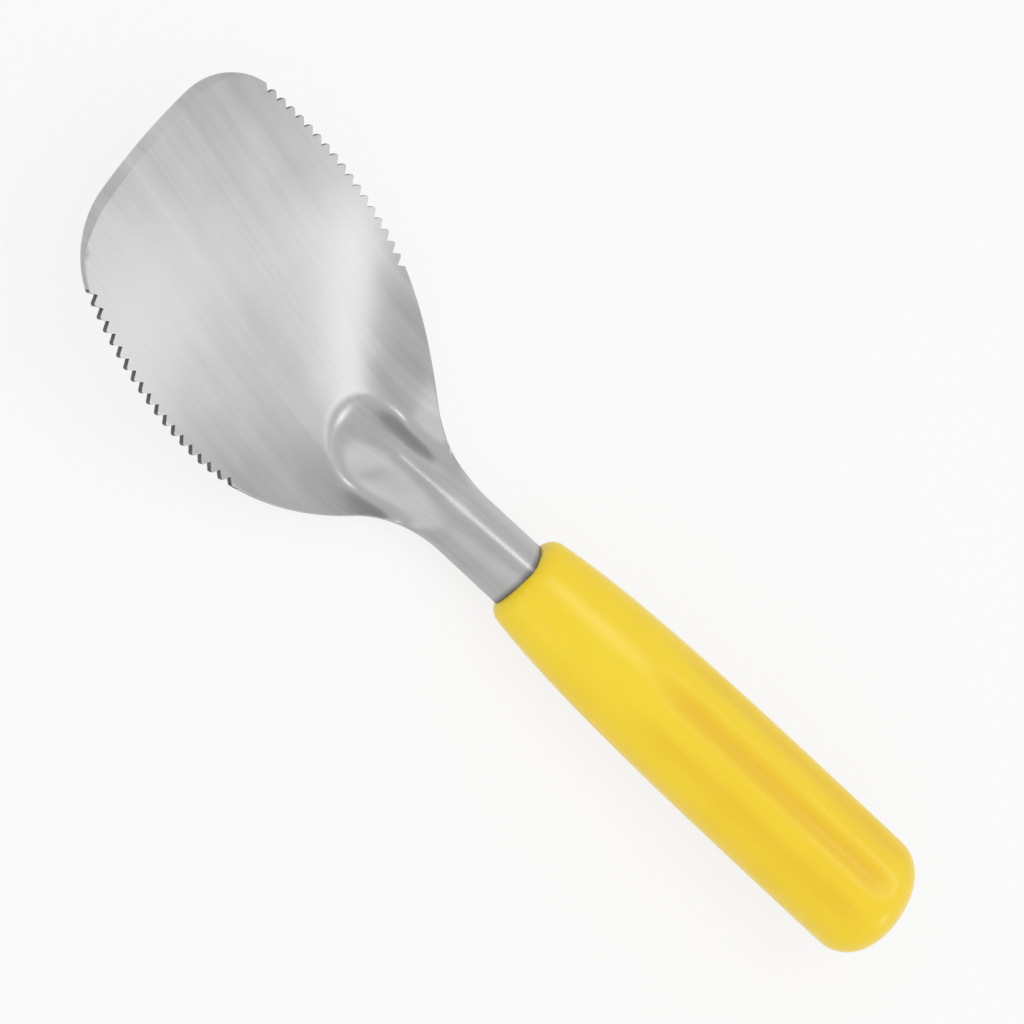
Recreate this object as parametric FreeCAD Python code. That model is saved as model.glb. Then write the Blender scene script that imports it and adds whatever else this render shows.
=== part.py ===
# Ice cream scoop: a serrated spade blade stamped from one steel sheet, its rib running back
# as a channel stem and a hidden tang, with one plastic handle moulded over the tang.
# Millimetres. It is drawn with the blade's side edges level: x forward, y to the left, z up,
# and s is the distance back from the front edge (x = -s). It is then tipped to its rest pose.
import FreeCAD, Part
import math
import os

V = FreeCAD.Vector

# Blade outline in plan, from the front edge back: arcs that meet without a corner
SHEET = 1.3
FRONT_RADIUS = 150.0
CORNER_RADIUS = 18.9
SIDE_RADIUS = 120.0
SHOULDER_RADIUS = 61.0
NECK_RADIUS = 28.5
BLADE_HALF_WIDTH = 34.9
WIDEST_AT = 46.0
SHOULDER_FROM = 56.0
STEM_HALF_WIDTH = 8.15

# Teeth along both side edges
TOOTH_COUNT = 18
TOOTH_FIRST = 14.5
TOOTH_PITCH = 3.13
TOOTH_DEPTH = 1.75
TOOTH_REAR_SHARE = 0.56
TOOTH_TIP_LAND = 0.14
GULLET_RADIUS = 0.28

# Ground bevel on the top of the front edge
BEVEL_WIDTH = 2.1
BEVEL_LAND = 0.3
BEVEL_EASE_FROM = 15.0
BEVEL_EASE = 0.019

# Height of the sheet: level side edges, a dish that deepens to the heel, and the bent stem
BEND_DEG = 22.5
STEM_START = 129.6
STEM_RISE = 19.6
EDGE_CAMBER = 0.8
EDGE_LEVEL_AT = 41.0
SHOULDER_RISE = 2.9
SHOULDER_RISE_AT = 86.0
SHOULDER_RISE_POWER = 2.6
BEND_SOFTNESS = 0.6
DISH_DEPTH = 6.4
HEEL_AT = 93.0
DISH_FADE = 17.0

# Rib: a round nose on the blade that narrows into the arched stem
NOSE_LENGTH = 16.0
NOSE_HALF_WIDTH = 12.0
NOSE_POWER = 3
RIB_HEIGHT = 3.8
RIB_GROWTH = 0.115
RIB_BLEND_FROM = 99.0
RIB_BLEND = 10.0
RIB_SOFTNESS = 0.6

# Tang inside the handle
TANG_LENGTH = 42.0
TANG_END_HALF_WIDTH = 5.6
TANG_END_ARCH = 2.0

# Handle, measured along its own axis from its front face
HANDLE_LENGTH = 120.5
HANDLE_FRONT_HALF_WIDTH = 10.8
HANDLE_HALF_WIDTH = 15.2
HANDLE_SWELL = 25.0
HANDLE_FLATNESS = 0.72
HANDLE_SQUARENESS = 2.15
HANDLE_ABOVE_STEM_EDGE = 1.6
HANDLE_FRONT_ROUND = 2.8
HANDLE_END_DOME = 10.5
DOME_SQUARENESS = 2.2

# Grip flutes on the handle: a thumb groove on top and a shallower dip beside it
FLUTE_START = 30.0
FLUTE_FULL = 50.0
FLUTE_FADE = 104.0
FLUTE_END = 114.0
THUMB_DEPTH = 0.75
THUMB_HALF_WIDTH = 4.8
SIDE_DIP_DEPTH = 0.4
SIDE_DIP_AT = 10.0
SIDE_DIP_HALF_WIDTH = 3.8

# How closely the sheet's skins and the handle's sections are drawn, and how far cutters overrun
SKIN_STEP = 6.0
SKIN_FINE_STEP = 2.0
SKIN_POINTS = 12
SKIN_SPARE = 2.0
SECTION_POINTS = 24
GRIP_STEP = 5.0
ROUND_STEPS = 4
DOME_STEPS = 10
OUTSIDE = 12.0
SLOPE_STEP = 0.01
BEVEL_STEPS = 16
ROUGH_MESH = 0.2
TILT_TRIES = 40

BEND = math.radians(BEND_DEG)


def smooth(t):
    """An even step from 0 to 1 with level ends."""
    t = min(max(t, 0.0), 1.0)
    return t * t * (3.0 - 2.0 * t)


def soft_max(a, b, softness):
    """The larger of two heights, with the corner between them rounded off."""
    return max(a, b) + softness * math.log(1.0 + math.exp(-abs(a - b) / softness))


# Centres of the side, shoulder and neck arcs; each is tangent to the one before it.
SIDE_CENTRE = (WIDEST_AT, BLADE_HALF_WIDTH - SIDE_RADIUS)
_turn = math.asin((SHOULDER_FROM - WIDEST_AT) / SIDE_RADIUS)
SHOULDER_CENTRE = (
    SIDE_CENTRE[0] + (SIDE_RADIUS - SHOULDER_RADIUS) * math.sin(_turn),
    SIDE_CENTRE[1] + (SIDE_RADIUS - SHOULDER_RADIUS) * math.cos(_turn),
)
_reach = SHOULDER_RADIUS + NECK_RADIUS
_drop = STEM_HALF_WIDTH + NECK_RADIUS - SHOULDER_CENTRE[1]
NECK_CENTRE = (
    SHOULDER_CENTRE[0] + math.sqrt(_reach ** 2 - _drop ** 2),
    STEM_HALF_WIDTH + NECK_RADIUS,
)
NECK_FROM = SHOULDER_CENTRE[0] + (NECK_CENTRE[0] - SHOULDER_CENTRE[0]) * SHOULDER_RADIUS / _reach

# Where the tang ends, seen in plan
TANG_END = STEM_START + TANG_LENGTH * math.cos(BEND)


def half_width(s):
    """Half the width of the blade, stem and tang at s."""
    if s < SHOULDER_FROM:
        return SIDE_CENTRE[1] + math.sqrt(SIDE_RADIUS ** 2 - (s - SIDE_CENTRE[0]) ** 2)
    if s < NECK_FROM:
        return SHOULDER_CENTRE[1] + math.sqrt(SHOULDER_RADIUS ** 2 - (s - SHOULDER_CENTRE[0]) ** 2)
    if s < NECK_CENTRE[0]:
        return NECK_CENTRE[1] - math.sqrt(NECK_RADIUS ** 2 - (s - NECK_CENTRE[0]) ** 2)
    inside = max(s - STEM_START, 0.0) / (TANG_END - STEM_START)
    return STEM_HALF_WIDTH + (TANG_END_HALF_WIDTH - STEM_HALF_WIDTH) * inside


def stem_line(s):
    """Height of the stem's edges, which run straight up into the handle."""
    return STEM_RISE - (STEM_START - s) * math.tan(BEND)


def edge_height(s):
    """Height of the sheet at its side edge: nearly level, then bent up along the stem line."""
    run = SHOULDER_RISE_AT - EDGE_LEVEL_AT
    if s < EDGE_LEVEL_AT:
        low = EDGE_CAMBER * ((EDGE_LEVEL_AT - s) / EDGE_LEVEL_AT) ** 2
    elif s < SHOULDER_RISE_AT:
        low = SHOULDER_RISE * ((s - EDGE_LEVEL_AT) / run) ** SHOULDER_RISE_POWER
    else:
        low = SHOULDER_RISE * (1.0 + SHOULDER_RISE_POWER * (s - SHOULDER_RISE_AT) / run)
    return soft_max(low, stem_line(s), BEND_SOFTNESS)


def dish(s):
    """How far the middle of the blade hangs below its edges."""
    deep = DISH_DEPTH * (max(s, 0.0) / HEEL_AT) ** 2
    return deep * (1.0 - smooth((s - HEEL_AT) / DISH_FADE))


def crest(s):
    """Height of the rib's crest line; inside the handle the arch flattens out."""
    arch = RIB_HEIGHT + RIB_GROWTH * (s - HEEL_AT)
    inside = smooth((s - STEM_START) / (TANG_END - STEM_START))
    return stem_line(s) + arch + (TANG_END_ARCH - arch) * inside


def sheet_height(s, y):
    """Height of the middle of the sheet above the level of the side edges."""
    half = half_width(s)
    middle = edge_height(s) - dish(s)
    base = middle + dish(s) * (y / half) ** 2
    rib_half = -soft_max(-NOSE_HALF_WIDTH, -half, RIB_SOFTNESS)
    along = max(HEEL_AT - s, 0.0) / NOSE_LENGTH
    arch = 1.0 - along ** 2 - (y / rib_half) ** 2
    nose = max(arch, 0.0) ** NOSE_POWER
    blend = smooth((s - RIB_BLEND_FROM) / RIB_BLEND)
    return base + (nose + (arch - nose) * blend) * (crest(s) - middle)


def sheet_point(s, y, lift):
    """A point above the middle of the sheet; the lift is measured square to the slope there."""
    h = SLOPE_STEP
    along = (sheet_height(s + h, y) - sheet_height(s - h, y)) / (2.0 * h)
    across = (sheet_height(s, y + h) - sheet_height(s, y - h)) / (2.0 * h)
    steep = math.sqrt(1.0 + along ** 2 + across ** 2)
    return V(-s, y, sheet_height(s, y) + lift * steep)


def stations():
    """Where the sheet is measured along s: closer together over the rib's nose and the neck."""
    found = [-SKIN_SPARE]
    while found[-1] < TANG_END:
        s = found[-1]
        close = HEEL_AT - NOSE_LENGTH - SKIN_STEP < s < NECK_CENTRE[0]
        step = SKIN_FINE_STEP if close else SKIN_STEP
        found.append(s + step if s + step + SKIN_FINE_STEP < TANG_END else TANG_END)
    return found


def edge_frame(s):
    """The point of the side edge at s, its direction back along the edge, and outwards."""
    h = SLOPE_STEP
    slope = (half_width(s + h) - half_width(s - h)) / (2.0 * h)
    length = math.hypot(1.0, slope)
    along = (1.0 / length, slope / length)
    outward = (-along[1], along[0])
    return (s, half_width(s)), along, outward


def on_edge(s, back, out):
    """A point stepped back along the edge and outwards from the edge point at s."""
    point, along, outward = edge_frame(s)
    return (
        point[0] + back * along[0] + out * outward[0],
        point[1] + back * along[1] + out * outward[1],
    )


def gullets():
    """s of each tooth gullet, stepped one pitch at a time along the edge."""
    found = [TOOTH_FIRST]
    for _ in range(TOOTH_COUNT - 1):
        along = edge_frame(found[-1])[1]
        found.append(found[-1] + TOOTH_PITCH * along[0])
    return found


def tooth_spans():
    """Distance along the edge from a gullet to the tips ahead of it and behind it."""
    mouth = TOOTH_PITCH - TOOTH_TIP_LAND
    ahead = mouth * TOOTH_REAR_SHARE
    return ahead, mouth - ahead


def corner_circle():
    """Centre of the corner circle, which touches the front arc and the side arc from inside."""
    a = FRONT_RADIUS - CORNER_RADIUS
    b = SIDE_RADIUS - CORNER_RADIUS
    dx = SIDE_CENTRE[0] - FRONT_RADIUS
    dy = SIDE_CENTRE[1]
    d = math.hypot(dx, dy)
    along = (a * a - b * b + d * d) / (2.0 * d)
    side = math.sqrt(a * a - along * along)
    return (
        FRONT_RADIUS + (along * dx + side * dy) / d,
        (along * dy - side * dx) / d,
    )


def toward(centre, radius, target):
    """The point of a circle in the direction of a target."""
    dx = target[0] - centre[0]
    dy = target[1] - centre[1]
    d = math.hypot(dx, dy)
    return centre[0] + radius * dx / d, centre[1] + radius * dy / d


def plan(point, side):
    """A plan point as a vector at height zero, on the left or the right."""
    return V(-point[0], side * point[1], 0)


def arc(first, middle, last):
    return Part.Arc(first, middle, last).toShape()


def line(first, last):
    return Part.LineSegment(first, last).toShape()


def gullet_points(s):
    """Mouth, gullet arc and mouth of one tooth gap, from the front of it to the back."""
    ahead, behind = tooth_spans()
    front = on_edge(s, -ahead, 0.0)
    back = on_edge(s, behind, 0.0)
    floor = on_edge(s, 0.0, -TOOTH_DEPTH)
    start = between(floor, front, GULLET_RADIUS)
    end = between(floor, back, GULLET_RADIUS)
    middle = ((start[0] + end[0]) / 4.0 + floor[0] / 2.0, (start[1] + end[1]) / 4.0 + floor[1] / 2.0)
    return front, start, middle, end, back


def between(a, b, distance):
    """The point at a distance from a towards b."""
    return toward(a, distance, b)


def side_outline():
    """The side edge as points: pairs for straight stretches and triples for round ones."""
    centre = corner_circle()
    corner_start = toward((FRONT_RADIUS, 0.0), FRONT_RADIUS, centre)
    gaps = [gullet_points(s) for s in gullets()]
    corner_end = toward(centre, CORNER_RADIUS, gaps[0][0])
    corner_middle = toward(centre, CORNER_RADIUS, midpoint(corner_start, corner_end))
    stretches = [(corner_start, corner_middle, corner_end)]
    here = corner_end
    for front, start, middle, end, back in gaps:
        if here != corner_end:
            stretches.append((here, front))
            here = front
        stretches.append((here, start))
        stretches.append((start, middle, end))
        here = back
        stretches.append((end, back))
    for s in (NECK_FROM, NECK_CENTRE[0]):
        middle = (here[0] + s) / 2.0
        stretches.append((here, (middle, half_width(middle)), (s, half_width(s))))
        here = stretches[-1][-1]
    for s in (STEM_START, TANG_END + OUTSIDE):
        stretches.append((here, (s, half_width(s))))
        here = stretches[-1][-1]
    return stretches


def midpoint(a, b):
    return (a[0] + b[0]) / 2.0, (a[1] + b[1]) / 2.0


def outline_prism():
    """The stamping die: the whole outline with its teeth, as a prism through the blank."""
    stretches = side_outline()
    edges = []
    for side in (1, -1):
        for points in stretches:
            ends = [plan(point, side) for point in points]
            edges.append(line(*ends) if len(ends) == 2 else arc(*ends))
    front = stretches[0][0]
    edges.append(arc(plan(front, 1), V(0, 0, 0), plan(front, -1)))
    back = stretches[-1][-1]
    edges.append(line(plan(back, 1), plan(back, -1)))
    face = Part.Face(Part.Wire(Part.__sortEdges__(edges)))
    low = -DISH_DEPTH - OUTSIDE
    high = crest(TANG_END) + OUTSIDE
    face.translate(V(0, 0, low))
    return face.extrude(V(0, 0, high - low))


def bevel_offcut():
    """The steel ground off the top of the front edge; it runs out towards both corners."""
    slope = (SHEET - BEVEL_LAND) / BEVEL_WIDTH
    half = corner_circle()[1] + CORNER_RADIUS
    ahead = []
    behind = []
    for i in range(-BEVEL_STEPS, BEVEL_STEPS + 1):
        y = half * i / BEVEL_STEPS
        ease = max(abs(y) - BEVEL_EASE_FROM, 0.0)
        s = BEVEL_WIDTH + y * y / (2.0 * FRONT_RADIUS) + BEVEL_EASE * ease ** 2
        edge = sheet_point(s, y, SHEET / 2.0)
        reach = V(OUTSIDE, 0, -OUTSIDE * slope)
        ahead.append(edge + reach)
        behind.append(edge - reach)
    ground = Part.makeRuledSurface(smooth_edge(ahead), smooth_edge(behind))
    return ground.extrude(V(0, 0, OUTSIDE))


def smooth_edge(points):
    """A smooth open curve through the points, as an edge."""
    curve = Part.BSplineCurve()
    curve.interpolate(points)
    return curve.toShape()


def sheet_section(s):
    """The sheet's cross section at s: along the top, down, back along the underside, and up."""
    half = half_width(s) + SKIN_SPARE
    across = [half * k / SKIN_POINTS for k in range(-SKIN_POINTS, SKIN_POINTS + 1)]
    top = [sheet_point(s, y, SHEET / 2.0) for y in across]
    under = [sheet_point(s, y, -SHEET / 2.0) for y in reversed(across)]
    left = line(top[-1], under[0])
    right = line(under[-1], top[0])
    return Part.Wire([smooth_edge(top), left, smooth_edge(under), right])


def make_blank():
    """The formed sheet before its outline is cut: short bands lofted from section to section."""
    return Part.makeLoft([sheet_section(s) for s in stations()], True, True)


def make_blade():
    blade = make_blank().common(outline_prism())
    blade = blade.cut(bevel_offcut())
    return blade.Solids[0]


def grip_frame():
    """Front of the handle's axis, the way back along it, and the way up from it."""
    back = V(-math.cos(BEND), 0, math.sin(BEND))
    up = V(math.sin(BEND), 0, math.cos(BEND))
    start = V(-STEM_START, 0, STEM_RISE) + up * HANDLE_ABOVE_STEM_EDGE
    return start, back, up


def grip_half_width(u):
    swell = (HANDLE_HALF_WIDTH - HANDLE_FRONT_HALF_WIDTH) * math.exp(-u / HANDLE_SWELL)
    return HANDLE_HALF_WIDTH - swell


def flute_share(u):
    """How much of the flutes' depth there is at u: they start and fade gently."""
    start = smooth((u - FLUTE_START) / (FLUTE_FULL - FLUTE_START))
    return start * (1.0 - smooth((u - FLUTE_FADE) / (FLUTE_END - FLUTE_FADE)))


def bump(distance, half):
    """A round-bottomed dip one unit deep."""
    t = min(abs(distance) / half, 1.0)
    return 0.5 * (1.0 + math.cos(math.pi * t))


def flute_depth(across):
    thumb = THUMB_DEPTH * bump(across, THUMB_HALF_WIDTH)
    side = SIDE_DIP_DEPTH * bump(abs(across) - SIDE_DIP_AT, SIDE_DIP_HALF_WIDTH)
    return thumb + side


def grip_section(u, share, inset):
    """A closed section of the handle at u, scaled down for the dome or set in for the rim."""
    start, back, up = grip_frame()
    a = grip_half_width(u)
    b = a * HANDLE_FLATNESS
    n = HANDLE_SQUARENESS
    points = []
    for i in range(SECTION_POINTS):
        angle = 2.0 * math.pi * i / SECTION_POINTS
        c = math.cos(angle)
        d = math.sin(angle)
        radius = ((abs(d) / a) ** n + (abs(c) / b) ** n) ** (-1.0 / n)
        depth = flute_share(u) * flute_depth(radius * d) + inset
        k = share * (radius - depth)
        points.append(start + back * u + V(0, d * k, 0) + up * (c * k))
    curve = Part.BSplineCurve()
    curve.interpolate(points, PeriodicFlag=True)
    return Part.Wire([curve.toShape()])


def grip_sections():
    """The handle's sections in order: the rounded front rim, the grip, and the domed end."""
    quarter = math.pi / 2.0
    sections = []
    for step in range(ROUND_STEPS + 1):
        angle = quarter * step / ROUND_STEPS
        u = HANDLE_FRONT_ROUND * (1.0 - math.cos(angle))
        sections.append(grip_section(u, 1.0, HANDLE_FRONT_ROUND * (1.0 - math.sin(angle))))
    dome = HANDLE_LENGTH - HANDLE_END_DOME
    count = round((dome - HANDLE_FRONT_ROUND) / GRIP_STEP)
    for step in range(1, count):
        u = HANDLE_FRONT_ROUND + (dome - HANDLE_FRONT_ROUND) * step / count
        sections.append(grip_section(u, 1.0, 0.0))
    for step in range(DOME_STEPS):
        t = math.sin(quarter * step / DOME_STEPS)
        share = (1.0 - t ** DOME_SQUARENESS) ** (1.0 / DOME_SQUARENESS)
        sections.append(grip_section(dome + HANDLE_END_DOME * t, share, 0.0))
    return sections


def make_handle(blade):
    """The moulded handle, lofted in short bands through its sections, and cast round the tang."""
    grip = Part.makeLoft(grip_sections(), True, True)
    return grip.cut(blade).Solids[0]


def lowest(points, tilt):
    """Lowest height of some points after the front is raised by the tilt."""
    return min(p.z * math.cos(tilt) + p.x * math.sin(tilt) for p in points)


def rest_tilt(blade, handle):
    """The angle at which the heel of the blade and the end of the handle touch together."""
    heel = blade.tessellate(ROUGH_MESH)[0]
    grip = handle.tessellate(ROUGH_MESH)[0]
    low = 0.0
    high = BEND
    for _ in range(TILT_TRIES):
        tilt = (low + high) / 2.0
        if lowest(heel, tilt) < lowest(grip, tilt):
            low = tilt
        else:
            high = tilt
    return low


def main():
    blade = make_blade()
    handle = make_handle(blade)
    tilt = rest_tilt(blade, handle)
    parts = {"blade": blade, "handle": handle}
    for shape in parts.values():
        shape.rotate(V(0, 0, 0), V(0, 1, 0), -math.degrees(tilt))
    box = Part.makeCompound(list(parts.values())).optimalBoundingBox(False)
    middle = V((box.XMin + box.XMax) / 2.0, 0, box.ZMin)
    os.makedirs("parts", exist_ok=True)
    for name, shape in parts.items():
        shape.translate(-middle)
        shape.exportStep("parts/" + name + ".step")
        print(name, "valid", shape.isValid(), "volume mm3", round(shape.Volume, 1),
              "faces", len(shape.Faces))
    print("rest tilt", round(math.degrees(tilt), 2), "x moved", round(middle.x, 3),
          "z moved", round(middle.z, 3), "box", box)


main()
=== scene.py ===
# %% [markdown]
# # Ice cream scoop
# The scoop is two pieces: a blade stamped from one steel sheet, which runs back as an arched
# stem, and a plastic handle moulded over the end of that stem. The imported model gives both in
# their rest pose, in metres. This lesson redraws each one finely, because a smooth metal sheet
# shows every flat facet in its reflections, and gives both the finish of the real thing.

# %% The frame
import math

import bmesh
import bpy
from mathutils import Matrix, Vector
from mathutils.geometry import delaunay_2d_cdt


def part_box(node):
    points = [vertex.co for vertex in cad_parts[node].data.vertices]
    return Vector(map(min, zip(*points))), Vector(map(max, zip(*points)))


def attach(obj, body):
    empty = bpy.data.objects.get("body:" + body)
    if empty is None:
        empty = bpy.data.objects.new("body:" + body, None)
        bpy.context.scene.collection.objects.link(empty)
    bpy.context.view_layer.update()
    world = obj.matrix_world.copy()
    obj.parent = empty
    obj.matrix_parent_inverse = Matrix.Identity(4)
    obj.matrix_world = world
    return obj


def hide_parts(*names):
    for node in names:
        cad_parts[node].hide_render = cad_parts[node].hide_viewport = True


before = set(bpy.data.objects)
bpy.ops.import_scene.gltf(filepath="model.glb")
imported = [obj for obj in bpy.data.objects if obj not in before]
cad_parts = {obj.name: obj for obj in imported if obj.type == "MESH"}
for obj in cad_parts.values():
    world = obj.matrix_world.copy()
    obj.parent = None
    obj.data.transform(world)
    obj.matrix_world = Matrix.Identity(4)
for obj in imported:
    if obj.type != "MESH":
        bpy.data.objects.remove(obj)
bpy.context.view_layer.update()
bpy.context.scene.view_settings.view_transform = "Standard"
MM = 0.001

# %% [markdown]
# ## Camera
# A camera is easiest to repeat when it is written as a direction, a distance and a roll. The
# scoop is seen from high up, ahead of it and to its left, with the picture rolled so that the
# handle runs down to the right. The long lens keeps the perspective as slight as in a product
# photograph.

# %% Camera
CAMERA_AZIMUTH = math.radians(141.29)
CAMERA_ELEVATION = math.radians(59.62)
CAMERA_ROLL = math.radians(79.36)
CAMERA_DISTANCE = 0.6772
CAMERA_AIM = Vector((0.00845, -0.00606, 0.015))
CAMERA_LENS = 110.25


def look_from(azimuth, elevation):
    """The way back from the aim, and the turn of a camera there that has its top upwards."""
    back = Vector((
        math.sin(azimuth) * math.cos(elevation),
        -math.cos(azimuth) * math.cos(elevation),
        math.sin(elevation),
    ))
    right = Vector((0, 0, 1)).cross(back).normalized()
    up = back.cross(right)
    return back, Matrix((right, up, back)).transposed().to_4x4()


toward_camera, turn = look_from(CAMERA_AZIMUTH, CAMERA_ELEVATION)
camera_data = bpy.data.cameras.new("camera")
camera_data.lens = CAMERA_LENS
camera = bpy.data.objects.new("camera", camera_data)
place = Matrix.Translation(CAMERA_AIM + toward_camera * CAMERA_DISTANCE)
camera.matrix_world = place @ turn @ Matrix.Rotation(CAMERA_ROLL, 4, "Z")
bpy.context.scene.collection.objects.link(camera)
bpy.context.scene.camera = camera
print("camera at", [round(v, 3) for v in camera.matrix_world.translation])

# %% [markdown]
# ## Writing a tree like a sum
# Shaders and Geometry Nodes are both trees, drawn as boxes and wires, but a rule with many
# terms reads better as a sum. This helper adds a node for each operation and returns its
# output, so that Python's own lines keep the order of the formula.

# %% A helper for node trees


class Wiring:
    """Short calls that add nodes to a tree and wire them."""

    def __init__(self, tree):
        self.tree = tree

    def join(self, value, socket):
        """Wires an output to an input, or writes a plain value on it."""
        if isinstance(value, bpy.types.NodeSocket):
            self.tree.links.new(value, socket)
        else:
            socket.default_value = value

    def add(self, kind, inputs=(), **settings):
        """A node with its settings, and with some of its inputs filled by name or number."""
        node = self.tree.nodes.new(kind)
        for name, value in settings.items():
            setattr(node, name, value)
        for key, value in dict(inputs).items():
            self.join(value, node.inputs[key])
        return node

    def math(self, operation, *values):
        """One scalar operation."""
        node = self.add("ShaderNodeMath", operation=operation)
        for socket, value in zip(node.inputs, values):
            self.join(value, socket)
        return node.outputs[0]

    def plus(self, a, b, share):
        """a plus a share of b."""
        return self.math("MULTIPLY_ADD", b, share, a)

    def vector(self, operation, *values):
        """One vector operation, with the scale as a second value where it needs one."""
        node = self.add("ShaderNodeVectorMath", operation=operation)
        self.join(values[0], node.inputs[0])
        self.join(values[1], node.inputs["Scale"] if operation == "SCALE" else node.inputs[1])
        return node.outputs[0]

    def step(self, value, first, last, kind="LINEAR"):
        """0 before first, 1 after last."""
        inputs = {"Value": value, "From Min": first, "From Max": last}
        return self.add("ShaderNodeMapRange", inputs, interpolation_type=kind).outputs["Result"]

    def ranged(self, value, low, high, first, last):
        """low before first, high after last, and even steps between them."""
        inputs = {"Value": value, "From Min": first, "From Max": last, "To Min": low, "To Max": high}
        return self.add("ShaderNodeMapRange", inputs).outputs["Result"]

    def mix(self, a, b, share):
        """A colour on the way from a to b."""
        inputs = {"A": a, "B": b, "Factor": share}
        return self.add("ShaderNodeMix", inputs, data_type="RGBA").outputs["Result"]


def principled(name, colour, roughness, metallic=0.0):
    """A material with one Principled shader, its wiring and that shader."""
    material = bpy.data.materials.new(name)
    material.use_nodes = True
    shader = material.node_tree.nodes["Principled BSDF"]
    shader.inputs["Base Color"].default_value = colour
    shader.inputs["Roughness"].default_value = roughness
    shader.inputs["Metallic"].default_value = metallic
    return material, Wiring(material.node_tree), shader


# %% [markdown]
# ## Floor
# A white floor under soft light looks grey in a picture. Light Path tells the camera's rays and
# the metal's reflections from the light that bounces, so the floor can show itself nearly white
# to them and still keep the object's shadow. One large flat face is enough for it.

# %% Floor
FLOOR_SIZE = 6.0
FLOOR_COLOUR = (0.78, 0.78, 0.78, 1.0)
FLOOR_WHITE_SHARE = 0.82


def link_object(name, data):
    """A new object in the scene, at the origin."""
    thing = bpy.data.objects.new(name, data)
    bpy.context.scene.collection.objects.link(thing)
    return thing


def pale_floor():
    """A white floor: what the eye and the metal see of it is lifted towards plain white."""
    material, w, shader = principled("pale_floor", FLOOR_COLOUR, roughness=0.9)
    seen = w.add("ShaderNodeLightPath")
    either = w.math("MAXIMUM", seen.outputs["Is Camera Ray"], seen.outputs["Is Glossy Ray"])
    share = w.math("MULTIPLY", either, FLOOR_WHITE_SHARE)
    white = w.add("ShaderNodeEmission", {"Strength": 1.0})
    blend = w.add("ShaderNodeMixShader", {"Fac": share, 1: shader.outputs[0], 2: white.outputs[0]})
    w.join(blend.outputs[0], w.tree.nodes["Material Output"].inputs["Surface"])
    return material


floor_mesh = bpy.data.meshes.new("floor")
half_floor = FLOOR_SIZE / 2.0
floor_mesh.from_pydata(
    [(x * half_floor, y * half_floor, 0.0) for x, y in ((-1, -1), (1, -1), (1, 1), (-1, 1))],
    [],
    [(0, 1, 2, 3)],
)
floor = link_object("floor", floor_mesh)
floor.data.materials.append(pale_floor())
print("floor", FLOOR_SIZE, "m square")

# %% [markdown]
# ## Light
# Metal has no colour of its own to show: it shows the room. So most of the room is one even
# pale grey, which gives the steel its middle tone and the plastic its plain colour.

# %% Sky
SKY_TOP = (0.84, 0.84, 0.84, 1.0)
SKY_HORIZON = (0.80, 0.80, 0.803, 1.0)
SKY_TOP_FROM = 0.60
SKY_STRENGTH = 1.0

world = bpy.data.worlds.new("studio")
bpy.context.scene.world = world
world.use_nodes = True
sky = Wiring(world.node_tree)
background = world.node_tree.nodes["Background"]
background.inputs["Strength"].default_value = SKY_STRENGTH
direction = sky.add("ShaderNodeTexCoord").outputs["Generated"]
height = sky.add("ShaderNodeSeparateXYZ", {0: direction}).outputs["Z"]
grey = sky.mix(SKY_HORIZON, SKY_TOP, sky.step(height, 0.0, SKY_TOP_FROM))
sky.join(grey, background.inputs["Color"])
print("sky nodes", len(world.node_tree.nodes))

# %% [markdown]
# Four soft lamps add to the sky. A small one stands low behind the handle, where the front of
# the blade mirrors it: it is near, so the blade darkens towards the heel as a real one does. A
# second one overhead lights the nose of the rib, a wide weak one at the side models the handle,
# and the last puts a gloss on the handle's end. A lamp doesn't hide the sky behind it, so its
# handiest measure is how much brighter than the sky it looks in a mirror, whatever its size.

# %% Lamps
LAMP_AIM = Vector((0.10, 0.0, 0.023))
# Name, direction from the aim, distance, width and height in metres, and brightness.
LAMPS = (
    ("front_lamp", (-0.785, -0.305, 0.54), 0.42, 0.070, 0.06, 3.5),
    ("nose_lamp", (-0.20, -0.37, 0.906), 1.5, 0.30, 0.30, 3.4),
    ("side_lamp", (0.42, 0.70, 0.57), 1.2, 1.80, 1.20, 0.36),
    ("end_lamp", (-0.918, -0.04, 0.397), 1.55, 0.16, 0.16, 8.0),
)


def soft_lamp(name, toward, distance, width, height, brightness):
    """A rectangular lamp that faces the scoop; brightness is what it adds to the sky behind it."""
    data = bpy.data.lights.new(name, "AREA")
    data.shape = "RECTANGLE"
    data.size = width
    data.size_y = height
    data.energy = brightness * math.pi * width * height
    lamp = link_object(name, data)
    away = Vector(toward).normalized()
    lamp.location = LAMP_AIM + away * distance
    lamp.rotation_euler = away.to_track_quat("Z", "Y").to_euler()
    lamp.visible_camera = False


for lamp_row in LAMPS:
    soft_lamp(*lamp_row)

# %% [markdown]
# ## The sheet's rule
# The blade was drawn flat and then pressed, so two short rules describe it: its outline in
# plan, made of arcs that meet without a corner, and the height that the press gave each point.
# Sizes are in millimetres here, with s the distance back from the front edge and y to the
# side, and the sheet is level along its side edges. Later it is tipped to its rest pose.

# %% Outline sizes
SHEET = 1.28
FRONT_RADIUS = 150.0
CORNER_RADIUS = 18.9
SIDE_RADIUS = 120.0
SHOULDER_RADIUS = 61.0
NECK_RADIUS = 28.5
BLADE_HALF_WIDTH = 34.9
WIDEST_AT = 46.0
SHOULDER_FROM = 56.0
STEM_HALF_WIDTH = 8.15
STEM_START = 129.6
STEM_RISE = 19.6
BEND = math.radians(22.5)
TANG_LENGTH = 42.0
TANG_END_HALF_WIDTH = 5.6
TANG_END_ARCH = 2.0
TANG_END = STEM_START + TANG_LENGTH * math.cos(BEND)


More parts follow.
